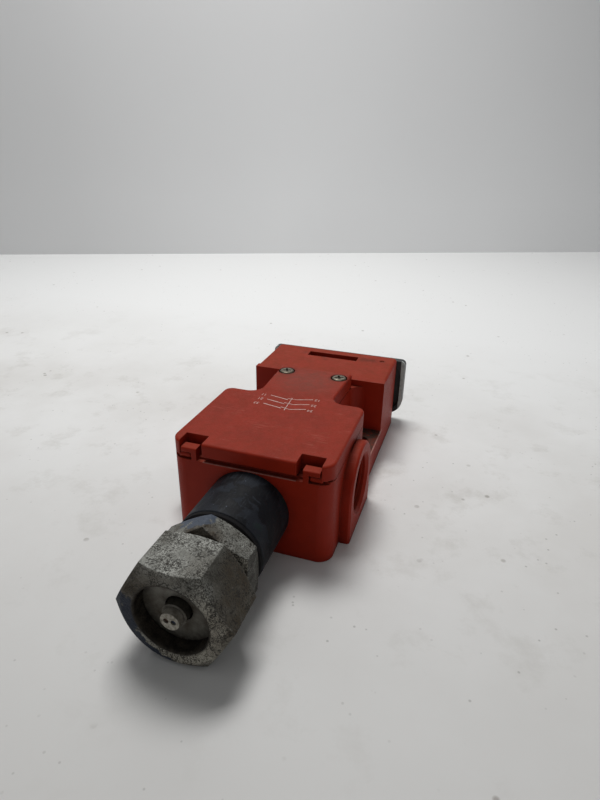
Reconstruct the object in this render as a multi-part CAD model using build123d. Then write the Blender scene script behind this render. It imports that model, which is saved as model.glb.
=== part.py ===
from build123d import *
import math
import os

# Tongue-operated safety interlock switch, millimetres.
# X runs across the switch, Y runs from the cable gland to the head, Z stands off the mounting face.
# The origin lies on the mounting face, half-way between the two round fixing holes.

# Moulded housing
body_width = 50.0
body_length = 40.0
neck_waist = 26.0
neck_end = 27.8
neck_length = 28.25
rim_height = 27.6
floor_thickness = 3.0
side_wall = 2.6
near_wall = 7.4
end_wall = 2.0
end_plate = 3.0
corner_radius = 4.5
shoulder_radius = 3.0
neck_fillet = 4.5
plate_fillet = 5.0
flange_width = 52.0
flange_thickness = 9.4
lip_drop = 0.6
lip_depth = 1.6

# Fixing holes in the two pockets beside the neck
fixing_spacing = 40.0
fixing_radius = 2.75
fixing_from_end = 60.0
slot_from_end = 46.5
slot_length = 7.5

# Conduit entries
entry_height = 14.2
entry_radius = 9.25
entry_chamfer = 1.0
side_entry_from_end = 24.4
boss_radius = 13.6
boss_reach = 3.3
inner_boss_radius = 11.0
side_thread_length = 7.4

# Lid
lid_height = 33.0
lid_gap = 0.3
lid_side_gap = 0.3
lid_plate = 2.6
lid_skirt = 2.9
lid_edge_round = 0.8
lid_end_from_end = 66.0
lid_apron_lift = 0.3
lid_apron_undercut = 0.8
notch_inner = 14.5
notch_outer = 21.8
notch_depth = 5.0
pad_inner = 16.4
pad_side_gap = 0.4
pad_depth = 3.4
pad_height = 30.9
pivot_from_end = 1.35
pivot_height = 28.2
foot_radius = 1.1
foot_clearance = 0.1
foot_root = 0.3
foot_inner = 18.3

# Screws that hold the lid and the head
lid_screw_spread = 20.4
lid_screw_from_end = 61.0
screw_head_radius = 2.65
screw_head_height = 1.6
screw_shaft_radius = 1.4
screw_depth = 3.6
screw_lid_gap = 0.2
screw_post_gap = 0.3
recess_gap = 0.45
recess_depth = 1.3
post_inner = 7.8
post_length = 7.0
head_screw_spread = 10.8
head_post_half = 2.0
head_screw_height = 22.5
head_screw_radius = 1.4
head_screw_head = 2.2
head_screw_length = 8.0

# Gaskets
gasket_width = 1.0
gasket_height = 1.4
gasket_edge = 0.6
gasket_gap = 0.1
gasket_lift = 0.1

# Head
head_width = 52.0
head_length = 28.75
head_height = 30.0
head_wall = 2.6
head_edge_round = 1.2
head_corner = 1.8
tongue_slot_width = 21.0
tongue_slot_thickness = 4.5
tongue_slot_from_rear = 7.25
dimple_radius = 0.9
dimple_depth = 0.25
dimple_offset = 20.7

# Cam wheel, its axle and the plunger
cam_from_plate = 10.75
cam_high_radius = 8.2
cam_tooth_radius = 8.6
cam_valley_radius = 5.8
cam_half_width = 3.0
cam_hub_radius = 3.2
hub_side_gap = 0.2
rib_inner = 4.2
rib_thickness = 2.0
rib_half_depth = 4.0
rib_drop = 4.0
axle_radius = 1.5
running_gap = 0.05
axle_seat_gap = 0.01
plunger_stroke = 3.0
cam_turn = 60.0
plunger_radius = 2.4
plunger_tip_gap = 0.55
plunger_nose_radius = 1.4
plunger_nose_length = 2.6
plunger_shoulder_chamfer = 0.8
plunger_guide_gap = 0.08
seal_radius = 4.4
seal_length = 1.4

# Contact block
block_near_from_end = 25.0
block_far_from_end = 56.5
block_half_width = 9.9
block_height = 18.6
block_wall = 1.5
carrier_half = 3.0
carrier_nose = 1.6
carrier_end_gap = 0.3
contact_pitch = 8.0
contact_first_from_end = 33.0
contact_count = 3
bridge_half_length = 7.6
bridge_height = 3.0
bridge_thickness = 0.8
contact_air = 0.2
strap_inner = 4.9
strap_width = 3.2
strap_thickness = 0.8
strap_pad_length = 5.0
barrier_half = 0.4
barrier_height = 2.6
terminal_radius = 1.25
terminal_head_radius = 2.0
terminal_head_height = 1.6
terminal_depth = 1.4
spring_radius = 2.1
spring_wire = 0.3
spring_turns = 4

# Blanking plug in the left entry
plug_head_radius = 11.0
plug_head_thickness = 2.0
plug_slot_width = 2.0
plug_slot_depth = 1.0
plug_slot_reach = 8.0
plug_seal_thickness = 1.0
thread_gap = 0.05

# Sleeve, gland and cable on the near entry
sleeve_radius = 12.5
sleeve_length = 20.0
seal_ring_thickness = 1.5
gland_flats = 24.0
gland_hex_length = 7.5
gland_barrel_radius = 11.2
gland_barrel_length = 10.8
gland_bore_radius = 5.5
grommet_pocket_radius = 8.7
grommet_length = 9.0
nut_flats = 27.0
nut_standoff = 1.5
nut_lip = 4.0
nut_lip_radius = 9.6
nut_shoulder_gap = 0.15
nut_chamfer = 1.8
hex_chamfer = 1.2
washer_thickness = 1.2
washer_bore_radius = 3.6
locknut_radius = 10.9
locknut_thickness = 3.0
cable_radius = 3.2
cable_tip_radius = 2.45
cable_tip_length = 2.1
cable_stand_out = 4.3
cable_tail = 3.5
core_radius = 0.7
core_spread = 1.9
core_setback = 0.4
core_bend = 5.0

# Cover over the end tongue slot
cover_width = 58.8
cover_low = 3.4
cover_high = 28.2
cover_standoff = 1.2
cover_thickness = 4.0
cover_corner = 2.0
cover_low_corner = 7.0
cover_rim = 1.6
cover_rim_depth = 1.4
cover_edge_round = 1.2
cover_tongue_gap = 0.25
cover_tongue_reach = 5.0
cover_pad_width = 30.0

# Places along the switch that follow from the sizes above
y_end = -fixing_from_end
y_shoulder = y_end + body_length
y_plate = y_shoulder + neck_length
y_head = y_plate + end_plate
y_rear = y_plate + head_length
y_cavity = y_plate - end_wall
y_lid_end = y_end + lid_end_from_end
y_pivot = y_end + pivot_from_end
y_lid_screw = y_end + lid_screw_from_end
y_side_entry = y_end + side_entry_from_end
y_slot = y_rear - tongue_slot_from_rear
y_cam = y_head + cam_from_plate
z_end_slot = entry_height - (y_slot - y_cam)
x_boss = body_width / 2 + boss_reach
x_pad_outer = notch_outer - pad_side_gap
z_lid_bottom = rim_height + lid_gap
z_lip = rim_height - lip_drop
z_block_top = floor_thickness + block_height
z_strap = z_block_top + strap_thickness
y_block_near = y_end + block_near_from_end
y_block_far = y_end + block_far_from_end
y_carrier_near = y_end + contact_first_from_end - carrier_nose
y_carrier_far = y_block_far - block_wall - plunger_stroke - carrier_end_gap
y_sleeve = y_end - sleeve_length
y_gland = y_sleeve - seal_ring_thickness
y_gland_front = y_gland - gland_hex_length
y_barrel = y_gland_front - gland_barrel_length
y_washer = y_barrel - washer_thickness
y_nut_rear = y_gland_front - nut_standoff
y_nut_shoulder = y_washer - nut_shoulder_gap
y_nut_front = y_nut_shoulder - nut_lip
y_cable_end = y_washer - cable_stand_out
y_locknut = y_end + near_wall


def block(x0, x1, y0, y1, z0, z1):
    """A plain box between two corners."""
    return Pos((x0 + x1) / 2, (y0 + y1) / 2, (z0 + z1) / 2) * Box(x1 - x0, y1 - y0, z1 - z0)


def rod_x(radius, x0, x1, y, z):
    return Pos((x0 + x1) / 2, y, z) * Rot(0, 90, 0) * Cylinder(radius, x1 - x0)


def rod_y(radius, y0, y1, x=0.0, z=entry_height):
    return Pos(x, (y0 + y1) / 2, z) * Rot(90, 0, 0) * Cylinder(radius, y1 - y0)


def rod_z(radius, z0, z1, x, y):
    return Pos(x, y, (z0 + z1) / 2) * Cylinder(radius, z1 - z0)


def turned(profile):
    """A lathe-turned piece about the gland axis, from (radius, y) corners."""
    face = make_face(Polyline(*profile, close=True))
    return Pos(0, 0, entry_height) * revolve(face, Axis.Y)


def hex_bar(flats, y0, y1, turn):
    """A hexagonal bar along Y with two flats level when turn is zero."""
    start = Plane(origin=(0, y0, entry_height), x_dir=(1, 0, 0), z_dir=(0, 1, 0))
    return extrude(start * RegularPolygon(flats / 2, 6, major_radius=False, rotation=turn), y1 - y0)


def chamfered_hex(flats, y0, y1, turn, near_cut, far_cut):
    """A nut blank: the bar inside a turned shape that cuts its corners back at both ends."""
    corner = flats / 2 / math.cos(math.pi / 6)
    rise = corner - flats / 2 + 0.6
    profile = [(0, y0), (corner - rise, y0), (corner, y0 + near_cut)]
    profile += [(corner, y1 - far_cut), (corner - rise, y1), (0, y1)]
    return hex_bar(flats, y0, y1, turn) & turned(profile)


def half_neck(y):
    """Half the neck's width at a place along the switch: it widens a little towards the head."""
    share = (y - y_shoulder) / neck_length
    return (neck_waist + (neck_end - neck_waist) * share) / 2


def edge_at(piece, half, y):
    """The upright edges of a piece at one place on both sides."""
    upright = piece.edges().filter_by(Axis.Z)
    return [e for e in upright if abs(abs(e.center().X) - half) < 0.01 and abs(e.center().Y - y) < 0.01]


def tee(inset, near, far, height, low):
    """The T-shaped plan of housing and lid, drawn inset from its walls and raised as a prism."""
    body = body_width / 2 - inset
    shoulder = y_shoulder - inset
    waist = half_neck(shoulder) - inset
    tip = half_neck(far) - inset
    right = [(body, near), (body, shoulder), (waist, shoulder), (tip, far)]
    left = [(-x, y) for x, y in reversed(right)]
    prism = Pos(0, 0, low) * extrude(make_face(Polyline(*right, *left, close=True)), height)
    prism = fillet(edge_at(prism, waist, shoulder), neck_fillet + inset)
    for y, radius in ((near, corner_radius), (shoulder, shoulder_radius)):
        prism = fillet(edge_at(prism, body, y), max(0.4, radius - inset))
    return prism


def both_sides(piece):
    return piece + mirror(piece, Plane.YZ)


def side_boss():
    """One raised conduit boss: a half-round arch with straight legs down to the mounting face."""
    x0 = body_width / 2 - 1
    arch = rod_x(boss_radius, x0, x_boss, y_side_entry, entry_height)
    legs = block(x0, x_boss, y_side_entry - boss_radius, y_side_entry + boss_radius, 0, entry_height)
    boss = arch + legs
    rim = boss.edges().filter_by(GeomType.CIRCLE).group_by(Axis.X)[-1]
    boss = chamfer(rim, 0.6)
    return boss - block(0, body_width / 2 + lid_side_gap, y_end, y_shoulder, z_lip, lid_height)


def entry_hole(x_mouth, x_inner):
    """A side conduit entry with a chamfered mouth."""
    hole = rod_x(entry_radius, min(x_mouth, x_inner), max(x_mouth, x_inner), y_side_entry, entry_height)
    cone = Cone(entry_radius, entry_radius + entry_chamfer, entry_chamfer)
    turn = Rot(0, 90, 0) if x_mouth > 0 else Rot(0, -90, 0)
    back = entry_chamfer / 2 if x_mouth > 0 else -entry_chamfer / 2
    return hole + Pos(x_mouth - back, y_side_entry, entry_height) * turn * cone


def hinge_pad():
    """The tab in a near corner of the housing that the lid's foot turns under."""
    pad = block(pad_inner, x_pad_outer, y_end, y_end + pad_depth, z_lip - 1, pad_height)
    pad = fillet(pad.edges().group_by(Axis.Z)[-1].filter_by(Axis.X), 0.5)
    return pad


def foot_room():
    """The slot in the pad that the lid's foot turns in, open to the near face."""
    radius = foot_radius + foot_clearance
    outer = notch_outer + foot_root + 0.2
    bore = rod_x(radius, foot_inner - 0.2, outer, y_pivot, pivot_height)
    mouth = block(foot_inner - 0.2, outer, y_end - 1, y_pivot,
                  pivot_height - radius, pivot_height + radius)
    return bore + mouth


def housing():
    shell = tee(0, y_end, y_plate + 0.5, rim_height, 0)
    flange = block(-flange_width / 2, flange_width / 2, y_shoulder - 3, y_head, 0, flange_thickness)
    plate = block(-head_width / 2, head_width / 2, y_plate, y_head, 0, head_height)
    shell = shell + flange + plate
    shell = fillet(edge_at(shell, half_neck(y_plate), y_plate), plate_fillet)
    shell = shell + both_sides(side_boss())
    cavity = tee(side_wall, y_end + near_wall, y_cavity, rim_height, floor_thickness)
    shell = shell - cavity
    x_thread = x_boss - side_thread_length
    inner_boss = rod_x(inner_boss_radius, x_thread, x_boss - 1, y_side_entry, entry_height)
    shell = shell + both_sides(inner_boss)
    post = block(post_inner, neck_waist / 2 - 0.5, y_cavity - post_length, y_cavity + 1,
                 floor_thickness - 1, rim_height)
    shell = shell + both_sides(post)
    shell = shell - entry_hole(x_boss, x_thread - 1)
    shell = shell - entry_hole(-x_boss, -x_thread + 1)
    shell = shell - rod_y(entry_radius, y_end - 1, y_end + near_wall + 1)
    shell = shell - block(-body_width, body_width, y_end - 1, y_end + lip_depth, z_lip, lid_height)
    shell = shell + both_sides(hinge_pad())
    shell = shell - both_sides(foot_room())
    for side in (-1, 1):
        x = side * fixing_spacing / 2
        shell = shell - rod_z(fixing_radius, -1, flange_thickness + 1, x, 0)
        long_hole = SlotOverall(slot_length, 2 * fixing_radius)
        long_hole = extrude(Pos(x, y_end + slot_from_end, -1) * long_hole, flange_thickness + 2)
        shell = shell - long_hole
        x = side * lid_screw_spread / 2
        post_hole = screw_shaft_radius + screw_post_gap
        shell = shell - rod_z(post_hole, rim_height - screw_depth - 1, rim_height + 1, x, y_lid_screw)
        x = side * head_screw_spread / 2
        hole = head_screw_radius + running_gap
        shell = shell - rod_y(hole, y_cavity - 1, y_head + 1, x, head_screw_height)
    guide = plunger_radius + plunger_guide_gap
    shell = shell - rod_y(guide, y_cavity - 1, y_head + 1)
    return shell


def lid():
    full = lid_height - z_lid_bottom
    cover = tee(0, y_end, y_lid_end, full, z_lid_bottom)
    top = cover.faces().sort_by(Axis.Z)[-1].edges()
    cover = fillet(top, lid_edge_round)
    room = lid_height - lid_plate - z_lid_bottom
    hollow = tee(lid_skirt, y_end + near_wall + 1, y_lid_end - lid_skirt, room, z_lid_bottom)
    boss = rod_z(screw_head_radius + 1, z_lid_bottom, lid_height - 1, lid_screw_spread / 2, y_lid_screw)
    cover = cover - (hollow - both_sides(boss))
    cover = cover - lid_gasket_ring(gasket_gap, gasket_height + gasket_gap)
    notch = block(notch_inner, notch_outer, y_end - 1, y_end + notch_depth, z_lid_bottom - 1,
                  lid_height + 1)
    cover = cover - both_sides(notch)
    lift = block(-body_width, body_width, y_end - 1, y_end + pivot_from_end + 1, z_lid_bottom - 1,
                 z_lid_bottom + lid_apron_lift)
    under = block(-notch_inner - 1, notch_inner + 1, y_end - 1, y_end + pivot_from_end + 1, z_lid_bottom - 1,
                  z_lid_bottom + lid_apron_undercut)
    cover = cover - lift - under
    foot = rod_x(foot_radius, foot_inner, notch_outer + foot_root, y_pivot, pivot_height)
    foot = fillet(foot.edges().filter_by(GeomType.CIRCLE).group_by(Axis.X)[0], 0.5)
    cover = cover + both_sides(foot)
    for side in (-1, 1):
        x = side * lid_screw_spread / 2
        recess = screw_head_radius + recess_gap
        hole = screw_shaft_radius + screw_lid_gap
        cover = cover - rod_z(recess, lid_height - recess_depth, lid_height + 1, x, y_lid_screw)
        cover = cover - rod_z(hole, z_lid_bottom - 1, lid_height + 1, x, y_lid_screw)
    return cover


def lid_gasket_ring(grow, height):
    """The closed T-shaped ring of the lid gasket, grown by a clearance for its groove."""
    near = y_end + near_wall - gasket_width - gasket_edge
    low = rim_height + gasket_lift
    outer = tee(gasket_edge - grow, near - grow, y_lid_end - gasket_edge + grow, height, low)
    inside = gasket_edge + gasket_width + grow
    near = near + gasket_width + grow
    inner = tee(inside, near, y_lid_end - inside, height + 2, low - 1)
    return outer - inner


def pan_screw(x, y, z_seat, depth):
    """A pan-head screw with a cross slot, standing along Z with its head seated at z_seat."""
    head = rod_z(screw_head_radius, z_seat, z_seat + screw_head_height, x, y)
    head = fillet(head.edges().group_by(Axis.Z)[-1], 0.7)
    top = z_seat + screw_head_height
    for turn in (20, 110):
        cut = Pos(x, y, top) * Rot(0, 0, turn) * Box(3.4, 0.8, 1.4)
        head = head - cut
    return head + rod_z(screw_shaft_radius, z_seat - depth, z_seat + 0.2, x, y)


def lid_screws():
    seat = lid_height - recess_depth
    depth = seat - rim_height + screw_depth
    return [pan_screw(s * lid_screw_spread / 2, y_lid_screw, seat, depth) for s in (-1, 1)]


def head_gasket_ring(grow, height):
    """The closed ring that seals the head on the housing's end plate, grown for its groove."""
    outer_inset = head_wall / 2 - gasket_width / 2 - grow
    inner_inset = head_wall / 2 + gasket_width / 2 + grow
    ring = Rectangle(head_width - 2 * outer_inset, head_height - 2 * outer_inset)
    ring = ring - Rectangle(head_width - 2 * inner_inset, head_height - 2 * inner_inset)
    start = Plane(origin=(0, y_head, head_height / 2), x_dir=(1, 0, 0), z_dir=(0, 1, 0))
    return extrude(start * ring, height)


def head_shell():
    shell = block(-head_width / 2, head_width / 2, y_head, y_rear, 0, head_height)
    shell = fillet(shell.edges().filter_by(Axis.Z).group_by(Axis.Y)[-1], head_corner)
    rounded = [e for e in shell.edges().group_by(Axis.Z)[-1] if e.center().Y > y_head + 0.1]
    shell = fillet(rounded, head_edge_round)
    inner_x = head_width / 2 - head_wall
    z_roof = head_height - head_wall
    shell = shell - block(-inner_x, inner_x, y_head - 1, y_rear - head_wall, head_wall, z_roof)
    rib = block(rib_inner, rib_inner + rib_thickness, y_cam - rib_half_depth, y_cam + rib_half_depth,
                entry_height - rib_drop, head_height - 1)
    post = block(head_screw_spread / 2 - head_post_half, head_screw_spread / 2 + head_post_half, y_head,
                 y_head + head_screw_length, head_screw_height - 2.4, head_height - 1)
    shell = shell + both_sides(rib) + both_sides(post)
    shell = shell - head_gasket_ring(0.05, gasket_height)
    half = tongue_slot_thickness / 2
    wide = tongue_slot_width / 2
    shell = shell - block(-wide, wide, y_slot - half, y_slot + half, z_roof - 1, head_height + 1)
    shell = shell - block(-wide, wide, y_rear - head_wall - 1, y_rear + 1,
                          z_end_slot - half, z_end_slot + half)
    shell = shell - rod_z(dimple_radius, head_height - dimple_depth, head_height + 1,
                          dimple_offset, y_slot + 1)
    x_rib = rib_inner + rib_thickness + 1
    shell = shell - rod_x(axle_radius + axle_seat_gap, -x_rib, x_rib, y_cam, entry_height)
    for side in (-1, 1):
        x = side * head_screw_spread / 2
        hole = head_screw_radius + running_gap
        shell = shell - rod_y(hole, y_head - 1, y_head + head_screw_length - 1.5, x, head_screw_height)
    return shell


def head_screws():
    screws = []
    for side in (-1, 1):
        x = side * head_screw_spread / 2
        head = rod_y(head_screw_head, y_cavity - 1.6, y_cavity, x, head_screw_height)
        head = fillet(head.edges().group_by(Axis.Y)[0], 0.5)
        head = head - Pos(x, y_cavity - 1.6, head_screw_height) * Box(0.7, 1.4, 2 * head_screw_head)
        tip = y_head + head_screw_length - 2
        shaft = rod_y(head_screw_radius, y_cavity - 0.2, tip, x, head_screw_height)
        screws.append(head + shaft)
    return screws


def polar(radius, degrees):
    """A point of the cam's outline in its own plane, angles counted from +Y towards +Z."""
    return (radius * math.cos(math.radians(degrees)), radius * math.sin(math.radians(degrees)))


def arc(radius, a0, a1):
    return ThreePointArc(polar(radius, a0), polar(radius, (a0 + a1) / 2), polar(radius, a1))


def cam_spiral_radius(turn):
    return cam_high_radius - plunger_stroke * turn / cam_turn


def cam_wheel():
    """Two driving teeth and a spiral lobe that lets the plunger out evenly as the wheel turns."""
    steps = 6
    low = cam_spiral_radius(cam_turn)
    spiral_points = [polar(cam_spiral_radius(cam_turn * i / steps), 180 + cam_turn * i / steps)
                     for i in range(steps + 1)]
    outline = [
        arc(cam_valley_radius, -38, 18),
        Line(polar(cam_valley_radius, 18), polar(cam_tooth_radius, 22)),
        arc(cam_tooth_radius, 22, 42),
        Line(polar(cam_tooth_radius, 42), polar(cam_high_radius, 50)),
        arc(cam_high_radius, 50, 180),
        Spline(*spiral_points),
        arc(low, 180 + cam_turn, 288),
        Line(polar(low, 288), polar(cam_tooth_radius, 298)),
        arc(cam_tooth_radius, 298, 318),
        Line(polar(cam_tooth_radius, 318), polar(cam_valley_radius, 322)),
    ]
    plane = Plane(origin=(-cam_half_width, y_cam, entry_height), x_dir=(0, 1, 0), z_dir=(1, 0, 0))
    disc = extrude(plane * make_face(Wire(outline)), 2 * cam_half_width)
    hub_end = rib_inner - hub_side_gap
    wheel = disc + rod_x(cam_hub_radius, -hub_end, hub_end, y_cam, entry_height)
    return wheel - rod_x(axle_radius + running_gap, -hub_end - 1, hub_end + 1, y_cam, entry_height)


def cam_axle():
    end = rib_inner + rib_thickness + 0.8
    pin = rod_x(axle_radius, -end, end, y_cam, entry_height)
    return chamfer(pin.edges().filter_by(GeomType.CIRCLE), 0.3)


def plunger():
    """A guided rod whose round nose faces the cam with an air gap at every turn of the cam."""
    tip = y_cam - cam_high_radius - plunger_tip_gap
    rod = rod_y(plunger_radius, y_carrier_far, tip - plunger_nose_length)
    rod = chamfer(rod.edges().group_by(Axis.Y)[-1], plunger_shoulder_chamfer)
    neck = rod_y(plunger_nose_radius, tip - plunger_nose_length - 1, tip - plunger_nose_radius)
    nose = Pos(0, tip - plunger_nose_radius, entry_height) * Sphere(plunger_nose_radius)
    return rod + neck + nose


def plunger_seal():
    inner = plunger_radius + plunger_guide_gap
    profile = [(inner, y_cavity - seal_length), (seal_radius - 1.2, y_cavity - seal_length)]
    profile += [(seal_radius, y_cavity - 0.6), (seal_radius, y_cavity), (inner, y_cavity)]
    return turned(profile)


def contact_places():
    return [y_end + contact_first_from_end + contact_pitch * i for i in range(contact_count)]


def strap_side(index):
    """The first two pairs wait ahead of their bridges; the last pair lies behind its bridge."""
    return -1 if index == contact_count - 1 else 1


def strap_leg_y(index, y):
    if strap_side(index) > 0:
        near = y + bridge_thickness / 2 + plunger_stroke + contact_air
        return near, near + strap_thickness
    far = y - bridge_thickness / 2 - contact_air
    return far - strap_thickness, far


def contact_block():
    top = z_block_top
    case = block(-block_half_width, block_half_width, y_block_near, y_block_far, floor_thickness, top)
    case = chamfer(case.edges().filter_by(Axis.Z), 0.8)
    inner = block_half_width - block_wall
    case = case - block(-inner, inner, y_block_near + block_wall, y_block_far - block_wall,
                        floor_thickness - 1, top - block_wall)
    guide = plunger_radius + plunger_guide_gap
    case = case - rod_y(guide, y_block_far - block_wall - 1, y_block_far + 1)
    for index, y in enumerate(contact_places()):
        y0, y1 = strap_leg_y(index, y)
        slot = block(strap_inner, strap_inner + strap_width, y0, y1, top - block_wall - 1, top + 1)
        case = case - both_sides(slot)
        y_screw = strap_screw_y(index, y)
        x_screw = strap_inner + strap_width / 2
        hole = rod_z(terminal_radius + running_gap, top - terminal_depth, top + 1, x_screw, y_screw)
        case = case - both_sides(hole)
    places = contact_places()
    for index in range(1, contact_count):
        near = strap_pad_y(index - 1, places[index - 1])[1]
        far = strap_pad_y(index, places[index])[0]
        y = (near + far) / 2
        x = block_half_width - 1
        case = case + block(-x, x, y - barrier_half, y + barrier_half, top - 0.1, top + barrier_height)
    return case


def strap_screw_y(index, y):
    """The screw sits on the pad that runs back over the bridge from the strap's leg."""
    y0, y1 = strap_leg_y(index, y)
    if strap_side(index) > 0:
        return y1 - strap_pad_length / 2 - 0.2
    return y0 + strap_pad_length / 2 + 0.2


def strap_pad_y(index, y):
    """Both ends of a strap's pad along the switch."""
    y0, y1 = strap_leg_y(index, y)
    middle = strap_screw_y(index, y)
    return min(y0, middle - strap_pad_length / 2), max(y1, middle + strap_pad_length / 2)


def terminal_straps():
    straps = []
    for index, y in enumerate(contact_places()):
        y0, y1 = strap_leg_y(index, y)
        bottom = entry_height - bridge_height / 2
        x1 = strap_inner + strap_width
        leg = block(strap_inner, x1, y0, y1, bottom, z_strap)
        pad_y0, pad_y1 = strap_pad_y(index, y)
        pad = block(strap_inner, x1, pad_y0, pad_y1, z_block_top, z_strap)
        strap = leg + pad
        strap = strap - rod_z(terminal_radius + running_gap, z_block_top - 1, z_strap + 1,
                              strap_inner + strap_width / 2, strap_screw_y(index, y))
        straps += [strap, mirror(strap, Plane.YZ)]
    return straps


def terminal_screws():
    screws = []
    for index, y in enumerate(contact_places()):
        x = strap_inner + strap_width / 2
        y_screw = strap_screw_y(index, y)
        head = rod_z(terminal_head_radius, z_strap, z_strap + terminal_head_height, x, y_screw)
        head = chamfer(head.edges().group_by(Axis.Z)[-1], 0.3)
        head = head - Pos(x, y_screw, z_strap + terminal_head_height) * Box(0.8, 5, 1.2)
        shaft = rod_z(terminal_radius, z_block_top - terminal_depth, z_strap + 0.2, x, y_screw)
        screw = head + shaft
        screws += [screw, mirror(screw, Plane.YZ)]
    return screws


def bridge_bar(half_length, y):
    half = bridge_thickness / 2
    z = bridge_height / 2
    return block(-half_length, half_length, y - half, y + half, entry_height - z, entry_height + z)


def contact_carrier():
    bar = block(-carrier_half, carrier_half, y_carrier_near, y_carrier_far,
                entry_height - carrier_half, entry_height + carrier_half)
    bar = chamfer(bar.edges().filter_by(Axis.Y), 0.5)
    for y in contact_places():
        bar = bar - bridge_bar(carrier_half + 1, y)
    return bar


def bridge_contacts():
    return [bridge_bar(bridge_half_length, y) for y in contact_places()]


def return_spring():
    length = y_carrier_near - y_block_near - block_wall - 2 * spring_wire
    path = Helix(length / spring_turns, length, spring_radius)
    start = path @ 0
    section = Plane(origin=start, z_dir=path % 0) * Circle(spring_wire)
    coil = sweep(section, path=path, is_frenet=True)
    return Pos(0, y_block_near + block_wall + spring_wire, entry_height) * Rot(-90, 0, 0) * coil


def entry_plug():
    """A moulded blanking plug with a coin slot, screwed into the left entry."""
    mouth = -x_boss - plug_seal_thickness
    face = mouth - plug_head_thickness
    head = rod_x(plug_head_radius, face, mouth, y_side_entry, entry_height)
    head = fillet(head.edges().filter_by(GeomType.CIRCLE).group_by(Axis.X)[0], 0.8)
    half = plug_slot_width / 2
    slot = block(face - 1, face + plug_slot_depth, y_side_entry - plug_slot_reach,
                 y_side_entry + plug_slot_reach, entry_height - half, entry_height + half)
    stem_end = -x_boss + side_thread_length - 1
    stem = rod_x(entry_radius - thread_gap, mouth - 0.5, stem_end, y_side_entry, entry_height)
    hollow = rod_x(entry_radius - 2, -x_boss + 1.5, stem_end + 1, y_side_entry, entry_height)
    return head - slot + stem - hollow


def plug_seal():
    outer = plug_head_radius - 0.4
    inner = entry_radius + 0.4
    ring = rod_x(outer, -x_boss - plug_seal_thickness, -x_boss, y_side_entry, entry_height)
    return ring - rod_x(inner, -x_boss - 2, -x_boss + 1, y_side_entry, entry_height)


def gland_sleeve():
    bore = entry_radius + 0.2
    profile = [(bore, y_sleeve), (sleeve_radius - 0.5, y_sleeve), (sleeve_radius, y_sleeve + 0.5)]
    profile += [(sleeve_radius, y_end), (bore, y_end)]
    return turned(profile)


def seal_ring():
    bore = entry_radius + 0.2
    profile = [(bore, y_gland), (sleeve_radius - 0.9, y_gland), (sleeve_radius - 0.1, y_gland + 0.5)]
    profile += [(sleeve_radius - 0.1, y_sleeve), (bore, y_sleeve)]
    return turned(profile)


def gland_body():
    """Hex flange, threaded spigot through the sleeve into the housing, and a barrel for the nut."""
    hexagon = chamfered_hex(gland_flats, y_gland_front, y_gland, 30, hex_chamfer, hex_chamfer)
    spigot = rod_y(entry_radius - thread_gap, y_gland - 1, y_locknut + locknut_thickness + 1)
    barrel = rod_y(gland_barrel_radius, y_barrel, y_gland_front + 1)
    body = hexagon + spigot + barrel
    pocket = grommet_pocket_radius
    pocket_end = y_barrel + grommet_length
    bore_end = y_locknut + locknut_thickness + 2
    bore = [(0, y_barrel - 1), (pocket, y_barrel - 1), (pocket, pocket_end)]
    bore += [(gland_bore_radius, pocket_end + 1.5), (gland_bore_radius, bore_end), (0, bore_end)]
    return body - turned(bore)


def gland_nut():
    """Compression nut with a deep round mouth that shows the washer and the cable."""
    blank = chamfered_hex(nut_flats, y_nut_front, y_nut_rear, 0, nut_chamfer, hex_chamfer)
    thread = gland_barrel_radius + running_gap
    mouth = nut_lip_radius
    bore = [(0, y_nut_front - 1), (mouth + 1.0, y_nut_front - 1), (mouth, y_nut_front + 0.4)]
    bore += [(mouth, y_nut_shoulder), (thread, y_nut_shoulder), (thread, y_nut_rear + 1)]
    bore += [(0, y_nut_rear + 1)]
    return blank - turned(bore)


def slip_washer():
    outer = gland_barrel_radius - 0.3
    inner = washer_bore_radius
    return turned([(inner, y_washer), (outer, y_washer), (outer, y_barrel), (inner, y_barrel)])


def cable_grommet():
    outer = grommet_pocket_radius - running_gap
    inner = cable_radius
    far = y_barrel + grommet_length - 0.5
    profile = [(inner, y_barrel), (outer, y_barrel), (outer, far - 2), (outer - 1.5, far), (inner, far)]
    return turned(profile)


def gland_locknut():
    """Ring nut inside the housing, with spanner notches."""
    ring = rod_y(locknut_radius, y_locknut, y_locknut + locknut_thickness)
    ring = ring - rod_y(entry_radius, y_locknut - 1, y_locknut + locknut_thickness + 1)
    for index in range(4):
        turn = Pos(0, 0, entry_height) * Rot(0, 45 + 90 * index, 0)
        notch = Pos(locknut_radius, y_locknut + locknut_thickness, 0)
        notch = notch * Box(1.2, 2 * locknut_thickness - 2, 3)
        ring = ring - turn * notch
    return ring


def core_path(side):
    """A cable core from the cut end, through the jacket, to the first terminal pad on its side."""
    x0 = side * core_spread / 2
    x1 = side * (strap_inner + strap_width / 2)
    y_pad = strap_screw_y(0, contact_places()[0]) - strap_pad_length / 2
    z_pad = z_strap - strap_thickness / 2
    z_top = z_pad + core_radius
    bend = y_end + near_wall + locknut_thickness + cable_tail
    points = [(x0, y_cable_end + core_setback, entry_height), (x0, bend, entry_height)]
    points += [(x1, y_block_near - 1.0, z_top), (x1, y_pad, z_top)]
    return FilletPolyline(*points, radius=core_bend)


def cable_core(side):
    path = core_path(side)
    section = Plane(origin=path @ 0, z_dir=path % 0) * Circle(core_radius)
    return sweep(section, path=path)


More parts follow.
